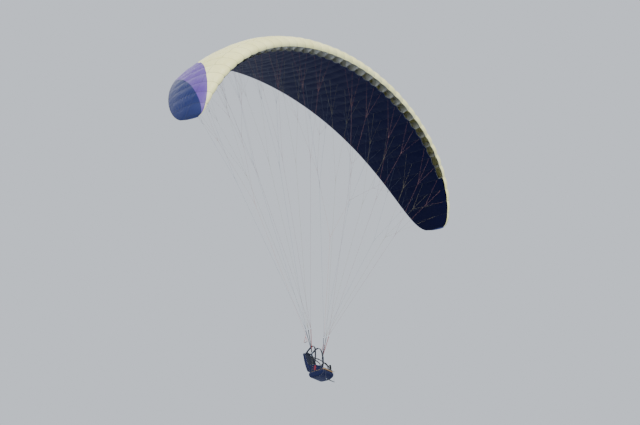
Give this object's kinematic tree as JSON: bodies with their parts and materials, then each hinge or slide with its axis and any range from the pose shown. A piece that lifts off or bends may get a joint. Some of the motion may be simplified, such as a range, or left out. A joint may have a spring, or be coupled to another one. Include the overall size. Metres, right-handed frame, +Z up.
{
  "type": "paraglider",
  "caption": "Foot-launched ram-air glider: arched cell wing, cascaded lines, risers, brake toggles and an empty seated harness.",
  "frame": {"origin": "middle of the wing on the root chord line, straight above the hanging points, where the air carries it", "axes": "+Z up, forward flight along -Y, span along X with the left wing at +X"},
  "size_m": [9.4298, 2.5746, 8.4097],
  "materials": {
    "upper_cloth": "coated ripstop, satin",
    "lower_cloth": "coated ripstop, satin",
    "tip_cloth": "coated ripstop, satin",
    "accent_cloth": "coated ripstop, satin",
    "line": "sheathed cord",
    "webbing": "woven webbing",
    "harness_cloth": "coated pack cloth",
    "pad_cloth": "spacer mesh",
    "board": "lacquered plywood",
    "grip": "padded webbing",
    "handle": "padded webbing",
    "steel": "polished",
    "alloy": "anodised"
  },
  "bodies": {
    "wing": {"upper_skin_tip_right": "tip_cloth", "lower_skin_tip_right": "lower_cloth", "upper_skin_accent_right": "accent_cloth", "lower_skin_accent_right": "lower_cloth", "upper_skin_outer_right": "upper_cloth", "lower_skin_outer_right": "lower_cloth", "upper_skin_inner_right": "upper_cloth", "lower_skin_inner_right": "lower_cloth", "upper_skin_centre": "upper_cloth", "lower_skin_centre": "lower_cloth", "upper_skin_inner_left": "upper_cloth", "lower_skin_inner_left": "lower_cloth", "upper_skin_outer_left": "upper_cloth", "lower_skin_outer_left": "lower_cloth", "upper_skin_accent_left": "accent_cloth", "lower_skin_accent_left": "lower_cloth", "upper_skin_tip_left": "tip_cloth", "lower_skin_tip_left": "lower_cloth", "a_lines_left": "line", "link_a_left": "steel", "b_lines_left": "line", "link_b_left": "steel", "c_lines_left": "line", "link_c_left": "steel", "brake_lines_left": "line", "riser_left": "webbing", "a_lines_right": "line", "link_a_right": "steel", "b_lines_right": "line", "link_b_right": "steel", "c_lines_right": "line", "link_c_right": "steel", "brake_lines_right": "line", "riser_right": "webbing"},
    "harness": {"carabiner_left": "alloy", "main_strap_left": "webbing", "shoulder_strap_left": "pad_cloth", "leg_strap_left": "webbing", "side_panel_left": "harness_cloth", "carabiner_right": "alloy", "main_strap_right": "webbing", "shoulder_strap_right": "pad_cloth", "leg_strap_right": "webbing", "side_panel_right": "harness_cloth", "seat_pad": "pad_cloth", "seat_board": "board", "seat_protector": "harness_cloth", "back_pad": "pad_cloth", "back_pack": "harness_cloth", "chest_strap": "webbing", "rescue_handle": "handle"},
    "brake_left": {"brake_toggle_left": "grip"},
    "brake_right": {"brake_toggle_right": "grip"},
    "speed_bar": {"speed_bar": "alloy"}
  },
  "joints": [
    {"name": "harness_pitch", "type": "hinge", "parent": "wing", "child": "harness", "pos_m": [0, 0, -7.35], "axis": [1, 0, 0], "range_deg": [-30, 30]},
    {"name": "brake_left_pull", "type": "slide", "parent": "wing", "child": "brake_left", "axis": [0, 0, -1], "range_m": [0, 0.55]},
    {"name": "brake_right_pull", "type": "slide", "parent": "wing", "child": "brake_right", "axis": [0, 0, -1], "range_m": [0, 0.55]},
    {"name": "speed_bar_swing", "type": "hinge", "parent": "harness", "child": "speed_bar", "pos_m": [0, -0.382, -7.8113], "axis": [1, 0, 0], "range_deg": [-70, 10]}
  ]
}
